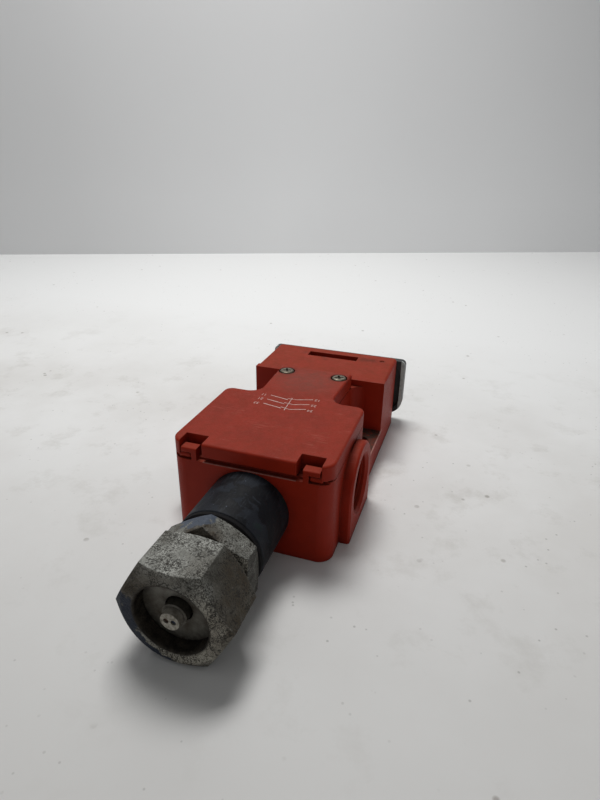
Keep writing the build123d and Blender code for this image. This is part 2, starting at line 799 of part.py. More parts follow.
def cable_jacket():
    tail = y_locknut + locknut_thickness + cable_tail - 1.5
    jacket = rod_y(cable_tip_radius, y_cable_end, tail)
    jacket = jacket + rod_y(cable_radius, y_cable_end + cable_tip_length, tail)
    for side in (-1, 1):
        jacket = jacket - rod_y(core_radius, y_cable_end - 1, tail + 1, side * core_spread / 2)
    return jacket


def end_slot_cover():
    """Rimmed cover over the end tongue slot, standing off the head on a short tongue and a centre pad."""
    y0 = y_rear + cover_standoff
    y1 = y0 + cover_thickness
    start = Plane(origin=(0, y0, (cover_low + cover_high) / 2), x_dir=(1, 0, 0), z_dir=(0, 1, 0))
    plate = extrude(start * Rectangle(cover_width, cover_high - cover_low), cover_thickness)
    corners = plate.edges().filter_by(Axis.Y).group_by(Axis.Z)
    plate = fillet(corners[-1], cover_corner)
    corners = plate.edges().filter_by(Axis.Y).group_by(Axis.Z)
    plate = fillet(corners[0], cover_low_corner)
    plate = fillet(plate.faces().sort_by(Axis.Y)[-1].edges(), cover_edge_round)
    room = Rectangle(cover_width - 2 * cover_rim, cover_high - cover_low - 2 * cover_rim)
    room = extrude(start * room, cover_rim_depth)
    plate = plate - fillet(room.edges().filter_by(Axis.Y), cover_low_corner - cover_rim)
    pad = block(-cover_pad_width / 2, cover_pad_width / 2, y_rear, y0 + cover_rim_depth + 0.5,
                cover_low + 2, cover_high - 4)
    half = tongue_slot_thickness / 2 - cover_tongue_gap
    wide = tongue_slot_width / 2 - cover_tongue_gap
    tongue = block(-wide, wide, y_rear - cover_tongue_reach, y_rear + 0.5,
                   z_end_slot - half, z_end_slot + half)
    tongue = chamfer(tongue.edges().group_by(Axis.Y)[0], 0.5)
    return plate + pad + tongue


def save(name, shape):
    """Writes one node; a list of shapes stays a group of separate solids."""
    if isinstance(shape, list):
        shape = Compound(children=[s for piece in shape for s in piece.solids()])
    export_step(shape, os.path.join("parts", name + ".step"))


os.makedirs("parts", exist_ok=True)

nodes = {
    "housing": housing,
    "lid": lid,
    "lid_gasket": lambda: lid_gasket_ring(0, gasket_height),
    "lid_screws": lid_screws,
    "head_shell": head_shell,
    "head_gasket": lambda: head_gasket_ring(0, gasket_height),
    "head_screws": head_screws,
    "cam_wheel": cam_wheel,
    "cam_axle": cam_axle,
    "plunger": plunger,
    "plunger_seal": plunger_seal,
    "contact_block": contact_block,
    "contact_carrier": contact_carrier,
    "bridge_contacts": bridge_contacts,
    "terminal_straps": terminal_straps,
    "terminal_screws": terminal_screws,
    "return_spring": return_spring,
    "entry_plug": entry_plug,
    "plug_seal": plug_seal,
    "gland_sleeve": gland_sleeve,
    "seal_ring": seal_ring,
    "gland_body": gland_body,
    "gland_nut": gland_nut,
    "gland_locknut": gland_locknut,
    "slip_washer": slip_washer,
    "cable_grommet": cable_grommet,
    "cable_jacket": cable_jacket,
    "cable_core_brown": lambda: cable_core(-1),
    "cable_core_blue": lambda: cable_core(1),
    "end_slot_cover": end_slot_cover,
}

for node, make in nodes.items():
    save(node, make())
    print(node, "written")
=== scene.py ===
# %% [markdown]
# # A tongue interlock switch on a pale bench
# This notebook dresses a switch whose solids were made in CAD. The housing, lid, head, gland and all the
# inner pieces arrive as they are, and stay where they are. What is added here is what Blender does best:
# the worn surfaces, the threads, the print on the lid, the light and the camera.

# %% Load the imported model
import math

import bpy
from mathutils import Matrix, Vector


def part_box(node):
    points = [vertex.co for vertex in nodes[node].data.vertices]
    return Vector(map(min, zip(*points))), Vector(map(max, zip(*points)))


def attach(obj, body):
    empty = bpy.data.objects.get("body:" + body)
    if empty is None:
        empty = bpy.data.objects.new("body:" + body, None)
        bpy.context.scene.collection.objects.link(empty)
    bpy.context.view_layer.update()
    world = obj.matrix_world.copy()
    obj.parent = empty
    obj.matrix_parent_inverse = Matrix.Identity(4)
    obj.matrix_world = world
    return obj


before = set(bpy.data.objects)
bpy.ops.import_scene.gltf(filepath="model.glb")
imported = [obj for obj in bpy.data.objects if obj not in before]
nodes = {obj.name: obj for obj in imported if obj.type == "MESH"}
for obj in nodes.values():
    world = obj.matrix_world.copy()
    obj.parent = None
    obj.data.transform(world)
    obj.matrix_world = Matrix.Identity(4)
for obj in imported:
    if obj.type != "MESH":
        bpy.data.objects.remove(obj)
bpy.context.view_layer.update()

mm = 0.001

# %% [markdown]
# ## The camera
# The photograph was taken with a phone from a little above the bench, close to the gland. Its place was
# found by matching some thirty points of the picture, so the numbers are not round. The lens is given by
# the picture's height, which is why the sensor is fitted vertically.

# %% Place the camera
camera_place = (56.22 * mm, -184.24 * mm, 114.31 * mm)
camera_turn = (64.56, -0.835, 18.634)
camera_data = bpy.data.cameras.new("bench_camera")
camera_data.sensor_fit = "VERTICAL"
camera_data.sensor_height = 36.0
camera_data.lens = 25.209
camera_data.clip_start = 0.005
camera = bpy.data.objects.new("bench_camera", camera_data)
bpy.context.collection.objects.link(camera)
camera.location = camera_place
camera.rotation_euler = [math.radians(angle) for angle in camera_turn]
bpy.context.scene.camera = camera
bpy.context.scene.view_settings.view_transform = "Standard"
print("camera at", tuple(round(v, 4) for v in camera.location))

# %% [markdown]
# ## Small helpers for modelling
# Operators act on everything that is selected, so each piece starts with nothing selected. A finished piece
# keeps its place in its mesh and its object at the origin, in the same way as the CAD nodes do.


# %% Helpers for pieces
def deselect():
    """Leaves nothing selected and no piece in edit mode."""
    if bpy.context.object and bpy.context.object.mode != "OBJECT":
        bpy.ops.object.mode_set(mode="OBJECT")
    bpy.ops.object.select_all(action="DESELECT")


def pick(*pieces):
    """Selects these pieces and makes the first one active."""
    deselect()
    for piece in pieces:
        piece.select_set(True)
    bpy.context.view_layer.objects.active = pieces[0]


def settle(piece, name):
    """Names a piece and moves its place, turn and size into its mesh."""
    pick(piece)
    bpy.ops.object.transform_apply(location=True, rotation=True, scale=True)
    piece.name = name
    piece.data.name = name
    print("piece", name, len(piece.data.polygons), "faces")
    return piece


# %% [markdown]
# ## Bench and wall
# The switch lies on a pale bench top in front of a pale wall. The line where they meet was found by
# carrying two points of the picture's horizon down to the bench. Both are one-face planes and count as
# stage, not as the object.

# %% Bench and wall
deselect()
bpy.ops.mesh.primitive_plane_add(size=6.0, location=(0.0, 0.0, -0.00005))
bench = settle(bpy.context.object, "bench")
wall_left = Vector((-0.4110, 0.2617, 0.0))
wall_right = Vector((0.1718, 0.5242, 0.0))
along = (wall_right - wall_left).normalized()
foot = (wall_left + wall_right) / 2
deselect()
bpy.ops.mesh.primitive_plane_add(size=6.0, location=foot + Vector((0, 0, 2.9)),
                                 rotation=(math.radians(90), 0, math.atan2(along.y, along.x)))
wall = settle(bpy.context.object, "wall")

# %% [markdown]
# ## Light
# One soft lamp hangs above and behind the switch, a little to the left. It is kept fairly small, so that
# the nut and the housing throw a shadow with a readable edge. The tops are then about four times as bright
# as the faces that look at the camera, which get only what the bench throws back. A weak grey world fills
# the rest of the room.


# %% Lamps and world
def soft_lamp(name, place, aim, width, depth, watts):
    """A rectangular area lamp that faces a point."""
    data = bpy.data.lights.new(name, "AREA")
    data.shape = "RECTANGLE"
    data.size = width
    data.size_y = depth
    data.energy = watts
    lamp = bpy.data.objects.new(name, data)
    bpy.context.collection.objects.link(lamp)
    lamp.location = place
    lamp.rotation_euler = (Vector(aim) - Vector(place)).to_track_quat("-Z", "Y").to_euler()
    return lamp


lamp_place = (-0.11, 0.16, 0.60)
lamp_aim = (-0.05, 0.09, 0.0)
soft_lamp("ceiling_lamp", lamp_place, lamp_aim, width=0.30, depth=0.18, watts=2.8)
world = bpy.data.worlds.new("room")
bpy.context.scene.world = world
world.use_nodes = True
world.node_tree.nodes["Background"].inputs["Color"].default_value = (0.78, 0.80, 0.82, 1.0)
world.node_tree.nodes["Background"].inputs["Strength"].default_value = 0.30

# %% [markdown]
# ## Helpers for materials
# A material here is a chain of a few plain steps: take the place on the piece, make a pattern from it, turn
# the pattern into a mask, and mix two colours by that mask. Each helper adds one such step to a node tree
# and gives back the socket that holds its result.


# %% Helpers for nodes
def plug(tree, value, target):
    """Puts a socket, number or colour on an input."""
    if isinstance(value, bpy.types.NodeSocket):
        tree.links.new(value, target)
    elif isinstance(value, (tuple, list)) and len(value) == 3 and target.type == "RGBA":
        target.default_value = (*value, 1.0)
    else:
        target.default_value = value


def noise(tree, vector, scale, detail=3.0, roughness=0.55):
    """Cloudy noise, about 0.3 to 0.7."""
    node = tree.nodes.new("ShaderNodeTexNoise")
    plug(tree, vector, node.inputs["Vector"])
    plug(tree, scale, node.inputs["Scale"])
    node.inputs["Detail"].default_value = detail
    node.inputs["Roughness"].default_value = roughness
    return node.outputs["Fac"]


def cells(tree, vector, scale, feature="F1"):
    """Voronoi distance: small round spots, or thin cracks with DISTANCE_TO_EDGE."""
    node = tree.nodes.new("ShaderNodeTexVoronoi")
    node.feature = feature
    plug(tree, vector, node.inputs["Vector"])
    plug(tree, scale, node.inputs["Scale"])
    return node.outputs["Distance"]


def ramp(tree, value, low, high, start=0.0, stop=1.0):
    """Spreads the part of a value between low and high over start to stop."""
    node = tree.nodes.new("ShaderNodeMapRange")
    for place, item in enumerate((value, low, high, start, stop)):
        plug(tree, item, node.inputs[place])
    return node.outputs["Result"]


def math_step(tree, operation, *values):
    """One sum with sockets or numbers."""
    node = tree.nodes.new("ShaderNodeMath")
    node.operation = operation
    node.use_clamp = operation in ("ADD", "MULTIPLY", "SUBTRACT")
    for value, socket in zip(values, node.inputs):
        plug(tree, value, socket)
    return node.outputs[0]


def mix(tree, mask, a, b):
    """Colour a where the mask is 0 and colour b where it is 1."""
    node = tree.nodes.new("ShaderNodeMix")
    node.data_type = "RGBA"
    plug(tree, mask, node.inputs[0])
    plug(tree, a, node.inputs[6])
    plug(tree, b, node.inputs[7])
    return node.outputs[2]


def near(tree, vector, centre, radius, soft):
    """A round patch about a point given in millimetres: 1 inside, 0 outside."""
    node = tree.nodes.new("ShaderNodeVectorMath")
    node.operation = "DISTANCE"
    plug(tree, vector, node.inputs[0])
    node.inputs[1].default_value = [v * mm for v in centre]
    return ramp(tree, node.outputs["Value"], radius * mm, (radius + soft) * mm, 1.0, 0.0)


def axis_value(tree, vector, axis):
    """One coordinate of a place or a direction."""
    node = tree.nodes.new("ShaderNodeSeparateXYZ")
    plug(tree, vector, node.inputs[0])
    return node.outputs[axis]


def facing(tree, axis):
    """One coordinate of the surface's direction: with Z, 1 on top faces and -1 on undersides."""
    node = tree.nodes.new("ShaderNodeNewGeometry")
    return axis_value(tree, node.outputs["Normal"], axis)


# %% [markdown]
# ## Shared effects
# Wear with painted edge highlights, dirt with painted shade in corners, grain and pits show on many pieces
# here. Each is one node group, built once, with its own inputs, so a material can ask for a little or a lot
# of it. Groups hand out masks and heights. The shader itself stays in the material, and so does the Ambient
# Occlusion node, whose openness value is handed to the group for dirt and painted shade.


# %% Start a node group
def new_group(name, inputs, outputs):
    """An empty group with float inputs, a vector input named Place, and float outputs."""
    group = bpy.data.node_groups.new(name, "ShaderNodeTree")
    group.interface.new_socket(name="Place", in_out="INPUT", socket_type="NodeSocketVector")
    for label, value in inputs:
        socket = group.interface.new_socket(name=label, in_out="INPUT", socket_type="NodeSocketFloat")
        socket.default_value = value
    for label in outputs:
        group.interface.new_socket(name=label, in_out="OUTPUT", socket_type="NodeSocketFloat")
    return group, group.nodes.new("NodeGroupInput").outputs, group.nodes.new("NodeGroupOutput").inputs


# %% Edge wear and painted highlight: rubbed corners, painted lighter where they catch the light
edge_wear_highlight_group, given, result = new_group("edge_wear_and_highlight", [("Radius", 0.0004), ("Breakup", 900.0)], ["Mask"])
bevel = edge_wear_highlight_group.nodes.new("ShaderNodeBevel")
bevel.samples = 6
plug(edge_wear_highlight_group, given["Radius"], bevel.inputs["Radius"])
flat = edge_wear_highlight_group.nodes.new("ShaderNodeNewGeometry")
turn = edge_wear_highlight_group.nodes.new("ShaderNodeVectorMath")
turn.operation = "DOT_PRODUCT"
plug(edge_wear_highlight_group, bevel.outputs["Normal"], turn.inputs[0])
plug(edge_wear_highlight_group, flat.outputs["Normal"], turn.inputs[1])
rounded = ramp(edge_wear_highlight_group, turn.outputs["Value"], 0.985, 0.82)
broken = ramp(edge_wear_highlight_group, noise(edge_wear_highlight_group, given["Place"], given["Breakup"], 4.0), 0.36, 0.62)
plug(edge_wear_highlight_group, math_step(edge_wear_highlight_group, "MULTIPLY", rounded, broken), result["Mask"])

# %% Settled dirt and painted shade: a dark layer in corners and gaps, where shade falls
dirt_shade_group, given, result = new_group("settled_dirt_and_shade", [("Open", 1.0), ("Breakup", 350.0)], ["Mask"])
hollow = ramp(dirt_shade_group, given["Open"], 0.92, 0.35)
clouds = ramp(dirt_shade_group, noise(dirt_shade_group, given["Place"], given["Breakup"], 5.0), 0.25, 0.6)
plug(dirt_shade_group, math_step(dirt_shade_group, "MULTIPLY", hollow, clouds), result["Mask"])

# %% Fine grain: the eroded surface that mould steel leaves on plastic
grain_group, given, result = new_group("moulded_grain", [("Size", 2600.0)], ["Height", "Mask"])
fine = noise(grain_group, given["Place"], given["Size"], 2.0, 0.6)
plug(grain_group, fine, result["Height"])
plug(grain_group, ramp(grain_group, fine, 0.42, 0.62), result["Mask"])

# %% Cast pits: dark open specks of weathered cast metal
pit_group, given, result = new_group("cast_pits", [("Size", 1500.0), ("Amount", 0.5)], ["Mask", "Height"])
wander = pit_group.nodes.new("ShaderNodeVectorMath")
wander.operation = "MULTIPLY_ADD"
shift = pit_group.nodes.new("ShaderNodeTexNoise")
plug(pit_group, given["Place"], shift.inputs["Vector"])
shift.inputs["Scale"].default_value = 1200.0
plug(pit_group, shift.outputs["Color"], wander.inputs[0])
wander.inputs[1].default_value = (0.0007, 0.0007, 0.0007)
plug(pit_group, given["Place"], wander.inputs[2])
spots = cells(pit_group, wander.outputs[0], given["Size"])
field = ramp(pit_group, noise(pit_group, given["Place"], 420.0, 4.0), 0.3, 0.7, 0.05, 0.6)
threshold = math_step(pit_group, "MULTIPLY", field, given["Amount"])
holes = ramp(pit_group, math_step(pit_group, "SUBTRACT", threshold, spots), 0.0, 0.12)
plug(pit_group, holes, result["Mask"])
plug(pit_group, math_step(pit_group, "SUBTRACT", 1.0, holes), result["Height"])

# %% Hair scratches: thin lines in three directions, only here and there
scratch_group, given, result = new_group("hair_scratches", [("Spread", 150.0)], ["Mask"])
lines = 0.0
for turn, length, width in ((25.0, 110.0, 2600.0), (-38.0, 150.0, 3100.0), (82.0, 130.0, 2400.0)):
    lay = scratch_group.nodes.new("ShaderNodeMapping")
    plug(scratch_group, given["Place"], lay.inputs["Vector"])
    lay.inputs["Rotation"].default_value = (0.0, 0.0, math.radians(turn))
    lay.inputs["Scale"].default_value = (length, width, 700.0)
    thin = ramp(scratch_group, noise(scratch_group, lay.outputs["Vector"], 1.0, 1.0), 0.64, 0.69)
    lines = math_step(scratch_group, "ADD", thin, lines)
somewhere = ramp(scratch_group, noise(scratch_group, given["Place"], given["Spread"], 3.0), 0.50, 0.62)
plug(scratch_group, math_step(scratch_group, "MULTIPLY", lines, somewhere), result["Mask"])

# %% Speckle: the net of dark specks on old cast metal
speck_group, given, result = new_group("net_speckle", [("Size", 1900.0), ("Level", 0.5)], ["Mask"])
net = noise(speck_group, given["Place"], given["Size"], 3.0, 0.65)
over = math_step(speck_group, "SUBTRACT", net, given["Level"])
plug(speck_group, ramp(speck_group, over, 0.0, 0.05), result["Mask"])
print("node groups:", [g.name for g in bpy.data.node_groups])


# %% Use a group in a material
def effect(tree, group, place, **values):
    """Places a node group and gives back its outputs."""
    node = tree.nodes.new("ShaderNodeGroup")
    node.node_tree = group
    plug(tree, place, node.inputs["Place"])
    for label, value in values.items():
        plug(tree, value, node.inputs[label])
    return node.outputs


def openness(tree, reach):
    """1 on open faces and less in corners and gaps, looking as far as the reach in metres."""
    node = tree.nodes.new("ShaderNodeAmbientOcclusion")
    node.samples = 8
    node.inputs["Distance"].default_value = reach
    return node.outputs["AO"]


def start_material(name):
    """A material with one Principled shader, and the place on the piece."""
    material = bpy.data.materials.new(name)
    material.use_nodes = True
    tree = material.node_tree
    shader = tree.nodes["Principled BSDF"]
    place = tree.nodes.new("ShaderNodeTexCoord").outputs["Object"]
    return material, tree, shader, place


def relief(tree, shader, height, depth, soft_edge=0.0):
    """Bumps of a given depth in metres, over edges that look rounded when soft_edge isn't 0."""
    bump = tree.nodes.new("ShaderNodeBump")
    bump.inputs["Strength"].default_value = 1.0
    bump.inputs["Distance"].default_value = depth
    plug(tree, height, bump.inputs["Height"])
    if soft_edge:
        edge = tree.nodes.new("ShaderNodeBevel")
        edge.samples = 6
        edge.inputs["Radius"].default_value = soft_edge
        plug(tree, edge.outputs["Normal"], bump.inputs["Normal"])
    plug(tree, bump.outputs["Normal"], shader.inputs["Normal"])


def dress(material, *names):
    """Gives CAD nodes a material in place of their plain one."""
    for name in names:
        data = nodes[name].data
        data.materials.clear()
        data.materials.append(material)


# %% [markdown]
# ## Red moulded plastic
# The housing and head are glass-filled plastic, once bright red and now dull. Top faces carry a brown layer
# that is partly dust and partly a painted sheen of the light, the pocket floors hold soil, the joints are
# darkened by dirt and painted shade, and the corners are a little lighter where the skin is rubbed, partly
# as a painted highlight. Two pale lines on the housing's edges are painted highlights. One function makes
# all three reds, because housing, head and lid are the same plastic with their own stains.


# %% Red plastic
def band(tree, value, low, high, soft):
    """1 where a value in millimetres lies between two limits, 0 outside."""
    rise = ramp(tree, value, (low - soft) * mm, low * mm)
    fall = ramp(tree, value, high * mm, (high + soft) * mm, 1.0, 0.0)
    return math_step(tree, "MULTIPLY", rise, fall)


def both(tree, *masks):
    """The place where all masks are 1."""
    result = masks[0]
    for mask in masks[1:]:
        result = math_step(tree, "MULTIPLY", result, mask)
    return result


def red_plastic(name, body, dust_sheen_colour, dust_sheen_amount, shine, stains=(), lines=()):
    material, tree, shader, place = start_material(name)
    clouds = noise(tree, place, 130.0, 4.0)
    tone = mix(tree, ramp(tree, clouds, 0.35, 0.7), body, [v * 0.84 for v in body])
    # Top faces get a greyer brown layer, partly dust and partly a painted sheen of the light on them.
    up = ramp(tree, facing(tree, "Z"), 0.55, 0.95)
    streaks = ramp(tree, noise(tree, place, 420.0, 6.0, 0.7), 0.32, 0.68, 0.35, 1.0)
    dust_and_sheen = math_step(tree, "MULTIPLY", both(tree, up, streaks), dust_sheen_amount)
    colour = mix(tree, dust_and_sheen, tone, dust_sheen_colour)
    scratch = effect(tree, scratch_group, place, Spread=150.0)["Mask"]
    colour = mix(tree, math_step(tree, "MULTIPLY", both(tree, scratch, up), 0.28), colour, (0.42, 0.13, 0.10))
    # Rubbed edges: lighter from wear, and partly a painted highlight where they catch the light.
    edge = effect(tree, edge_wear_highlight_group, place, Radius=0.00045, Breakup=700.0)["Mask"]
    colour = mix(tree, math_step(tree, "MULTIPLY", edge, 0.40), colour, (0.38, 0.065, 0.04))
    # Dirt and painted shade: corners and gaps are painted darker.
    dirt_and_shade = effect(tree, dirt_shade_group, place, Open=openness(tree, 0.0035), Breakup=500.0)["Mask"]
    colour = mix(tree, math_step(tree, "MULTIPLY", dirt_and_shade, 0.55), colour, (0.030, 0.006, 0.003))
    for centre, radius, soft, stain, amount in stains:
        patch = both(tree, near(tree, place, centre, radius, soft), streaks)
        colour = mix(tree, math_step(tree, "MULTIPLY", patch, amount), colour, stain)
    x, y, z = [axis_value(tree, place, axis) for axis in "XYZ"]
    side = math_step(tree, "ABSOLUTE", x)
    for x_band, y_band, z_band, stain, amount in lines:
        zone = both(tree, band(tree, side, *x_band), band(tree, y, *y_band), band(tree, z, *z_band))
        zone = both(tree, zone, ramp(tree, noise(tree, place, 600.0, 5.0), 0.25, 0.55, 0.25, 1.0))
        colour = mix(tree, math_step(tree, "MULTIPLY", zone, amount), colour, stain)
    specks = ramp(tree, cells(tree, place, 420.0), 0.055, 0.03)
    rare = ramp(tree, noise(tree, place, 90.0, 2.0), 0.52, 0.62)
    colour = mix(tree, both(tree, specks, rare), colour, (0.05, 0.02, 0.015))
    plug(tree, colour, shader.inputs["Base Color"])
    grain = effect(tree, grain_group, place, Size=2600.0)
    rough = ramp(tree, grain["Mask"], 0.0, 1.0, shine, shine + 0.14)
    rough = math_step(tree, "ADD", rough, math_step(tree, "MULTIPLY", dust_and_sheen, 0.5))
    plug(tree, rough, shader.inputs["Roughness"])
    shader.inputs["Specular IOR Level"].default_value = 0.14
    relief(tree, shader, grain["Height"], 0.00004, 0.00035)
    return material


brown = (0.055, 0.016, 0.009)
soil = (0.045, 0.034, 0.026)
painted_highlight_pale = (0.52, 0.30, 0.26)
# In the lines below, the soil band is dirt on the pocket floors. The two pale bands are painted highlights
# along the flange's top outer edge and along the housing's front top edge under the lid's apron, where those
# edges catch the light.
housing_red = red_plastic("faded_red_housing", (0.315, 0.0185, 0.0052), (0.150, 0.050, 0.026), 0.46, 0.46,
                          lines=[((14.0, 25.5, 0.5), (-20.0, 8.3, 0.5), (8.8, 10.0, 0.4), soil, 0.92),
                                 ((25.78, 26.5, 0.1), (-24.0, 40.0, 1.0), (9.0, 9.6, 0.3), painted_highlight_pale, 0.75),
                                 ((0.0, 14.3, 0.2), (-60.2, -59.7, 0.1), (26.80, 27.05, 0.08), painted_highlight_pale, 0.42)])
head_red = red_plastic("faded_red_head", (0.325, 0.0190, 0.0054), (0.145, 0.052, 0.026), 0.50, 0.46,
                       stains=[((13.0, 30.2, 30.0), 1.0, 2.6, brown, 0.55),
                               ((16.8, 30.3, 30.0), 0.9, 2.4, brown, 0.5),
                               ((20.7, 30.7, 30.0), 0.7, 0.9, brown, 0.75),
                               ((-3.0, 27.2, 30.0), 0.3, 1.4, brown, 0.6),
                               ((-2.0, 25.0, 30.0), 0.2, 1.6, brown, 0.35),
                               ((-12.5, 29.8, 30.0), 0.6, 1.8, brown, 0.4)])
lid_red = red_plastic("faded_red_lid", (0.315, 0.0185, 0.0052), (0.120, 0.040, 0.021), 0.40, 0.44,
                      stains=[((-10.2, 1.0, 33.0), 3.0, 1.4, brown, 0.6),
                              ((10.2, 1.0, 33.0), 3.0, 1.4, brown, 0.6),
                              ((0.0, -5.0, 33.0), 6.0, 9.0, (0.135, 0.070, 0.052), 0.45)])
print("reds:", housing_red.name, head_red.name, lid_red.name)
dress(housing_red, "housing")
dress(head_red, "head_shell")
dress(lid_red, "lid")

# %% [markdown]
# ## Weathered cast metal
# The gland's body and nut are grey castings that have lain in dirt: a mottled grey-green on top, brown,
# and painted darker as shade on the side away from the light, full of fine dark pits, with cracked grime on
# the front face.
# Rests of slate-blue paint sit on the nut's lower left edge and on the top corner of the hexagon behind it.
# The inside of the nut's mouth is painted near black as shade. Distance from the gland's axis tells the
# mouth from the front face.


# %% Cast metal
gland_height = 14.2


def from_axis(tree, vector):
    """How far a place is from the gland's axis, which runs along Y."""
    flatten = tree.nodes.new("ShaderNodeVectorMath")
    flatten.operation = "MULTIPLY"
    plug(tree, vector, flatten.inputs[0])
    flatten.inputs[1].default_value = (1.0, 0.0, 1.0)
    reach = tree.nodes.new("ShaderNodeVectorMath")
    reach.operation = "DISTANCE"
    plug(tree, flatten.outputs[0], reach.inputs[0])
    reach.inputs[1].default_value = (0.0, 0.0, gland_height * mm)
    return reach.outputs["Value"]


def cast_metal(name, paint_spots, brown_spots, paint, mouth=0.0, paint_edge=0.0):
    material, tree, shader, place = start_material(name)
    mottle = ramp(tree, noise(tree, place, 240.0, 6.0, 0.7), 0.32, 0.68)
    colour = mix(tree, mottle, (0.190, 0.190, 0.170), (0.370, 0.372, 0.340))
    blotch = ramp(tree, noise(tree, place, 95.0, 5.0, 0.65), 0.46, 0.60)
    colour = mix(tree, math_step(tree, "MULTIPLY", blotch, 0.55), colour, (0.085, 0.075, 0.058))
    # Painted shade: faces turned towards +X, away from the lamp, are painted darker brown.
    right = ramp(tree, facing(tree, "X"), 0.35, 0.75)
    front = ramp(tree, facing(tree, "Y"), -0.55, -0.9)
    shaded_side_breakup = ramp(tree, noise(tree, place, 300.0, 5.0), 0.30, 0.62, 0.95, 0.45)
    colour = mix(tree, both(tree, right, shaded_side_breakup), colour, (0.056, 0.052, 0.042))
    x_place, z_place = axis_value(tree, place, "X"), axis_value(tree, place, "Z")
    slope = math_step(tree, "MULTIPLY_ADD", z_place, -0.8, x_place)
    low_right = ramp(tree, slope, -0.0160, -0.0040)
    colour = mix(tree, both(tree, front, low_right), colour, (0.500, 0.465, 0.390))
    shade = math_step(tree, "MULTIPLY", front, ramp(tree, slope, -0.0085, -0.0235))
    colour = mix(tree, math_step(tree, "MULTIPLY", shade, 0.7), colour, (0.135, 0.117, 0.092))
    for centre, radius, soft in brown_spots:
        patch = near(tree, place, centre, radius, soft)
        patch = both(tree, patch, ramp(tree, noise(tree, place, 330.0, 5.0), 0.3, 0.6, 0.3, 1.0))
        colour = mix(tree, patch, colour, (0.062, 0.047, 0.030))
    net = effect(tree, speck_group, place, Size=2900.0, Level=0.480)["Mask"]
    density = ramp(tree, noise(tree, place, 210.0, 4.0), 0.34, 0.60, 0.30, 0.95)
    colour = mix(tree, both(tree, net, density), colour, (0.040, 0.037, 0.030))
    crack = ramp(tree, cells(tree, place, 520.0, "DISTANCE_TO_EDGE"), 0.070, 0.0)
    crack = both(tree, crack, ramp(tree, noise(tree, place, 200.0, 3.0), 0.42, 0.52), front)
    colour = mix(tree, math_step(tree, "MULTIPLY", crack, 0.9), colour, (0.014, 0.012, 0.008))
    pits = effect(tree, pit_group, place, Size=1500.0, Amount=1.0)
    colour = mix(tree, math_step(tree, "MULTIPLY", pits["Mask"], 0.7), colour, (0.022, 0.019, 0.015))
    # Rubbed edges: lighter from wear, and partly a painted highlight where they catch the light.
    edge = effect(tree, edge_wear_highlight_group, place, Radius=0.0006, Breakup=1600.0)["Mask"]
    colour = mix(tree, math_step(tree, "MULTIPLY", edge, 0.45), colour, (0.36, 0.36, 0.33))
    # Dirt and painted shade: corners and gaps are painted darker.
    dirt_and_shade = effect(tree, dirt_shade_group, place, Open=openness(tree, 0.005), Breakup=420.0)["Mask"]
    colour = mix(tree, math_step(tree, "MULTIPLY", dirt_and_shade, 0.9), colour, (0.028, 0.020, 0.012))
    painted = 0.0
    for centre, radius, soft in paint_spots:
        patch = near(tree, place, centre, radius, soft)
        patch = both(tree, patch, ramp(tree, noise(tree, place, 420.0, 6.0), 0.2, 0.55))
        painted = math_step(tree, "ADD", ramp(tree, patch, 0.35, 0.5), painted)
    if paint_edge:
        low = math_step(tree, "MULTIPLY_ADD", z_place, -0.5, 0.5 * gland_height * mm)
        out = math_step(tree, "MULTIPLY_ADD", x_place, -0.866, low)
        chips = ramp(tree, noise(tree, place, 700.0, 5.0), 0.30, 0.50, 0.0009, -0.0002)
        out = math_step(tree, "GREATER_THAN", out, math_step(tree, "ADD", paint_edge, chips))
        ahead = ramp(tree, axis_value(tree, place, "Y"), -0.1020, -0.1034)
        painted = math_step(tree, "ADD", both(tree, out, ahead), painted)
    colour = mix(tree, painted, colour, paint)
    if mouth:
        # Painted shade: the inside of the nut's mouth is painted near black, with some cloudiness.
        inside = ramp(tree, from_axis(tree, place), mouth + 0.0006, mouth)
        nut_mouth_shade = mix(tree, ramp(tree, noise(tree, place, 420.0, 5.0), 0.40, 0.70), (0.011, 0.008, 0.005),
                   (0.050, 0.040, 0.028))
        colour = mix(tree, inside, colour, nut_mouth_shade)
    plug(tree, colour, shader.inputs["Base Color"])
    bare = math_step(tree, "SUBTRACT", 1.0, painted)
    plug(tree, math_step(tree, "MULTIPLY", bare, 0.25), shader.inputs["Metallic"])
    plug(tree, ramp(tree, mottle, 0.0, 1.0, 0.78, 0.58), shader.inputs["Roughness"])
    shader.inputs["Specular IOR Level"].default_value = 0.3
    rough_skin = both(tree, noise(tree, place, 1700.0, 3.0), pits["Height"])
    relief(tree, shader, rough_skin, 0.00025, 0.0007)
    return material


slate_dark = (0.017, 0.023, 0.038)
slate_light = (0.070, 0.085, 0.112)
nut_metal = cast_metal("weathered_nut",
                       [((-14.0, -105.0, 13.0), 4.6, 3.0), ((-12.0, -105.5, 4.0), 3.4, 3.0),
                        ((-7.0, -105.5, -0.5), 3.6, 2.6), ((-2.5, -105.5, 0.0), 1.6, 1.6)],
                       [((13.5, -97.0, 14.0), 7.0, 6.0), ((11.0, -92.0, 21.0), 4.0, 4.0),
                        ((-9.0, -105.0, 22.0), 3.0, 3.0)],
                       slate_dark, mouth=9.9 * mm, paint_edge=10.7 * mm)
body_metal = cast_metal("weathered_hexagon",
                        [((-3.0, -83.0, 28.0), 3.4, 2.6), ((-7.5, -82.0, 25.5), 2.4, 2.4)],
                        [((0.0, -89.6, 26.0), 4.0, 3.0), ((-9.5, -84.5, 24.0), 1.0, 1.6)],
                        slate_light)
print("cast metals:", nut_metal.name, body_metal.name)
dress(nut_metal, "gland_nut")
dress(body_metal, "gland_body")

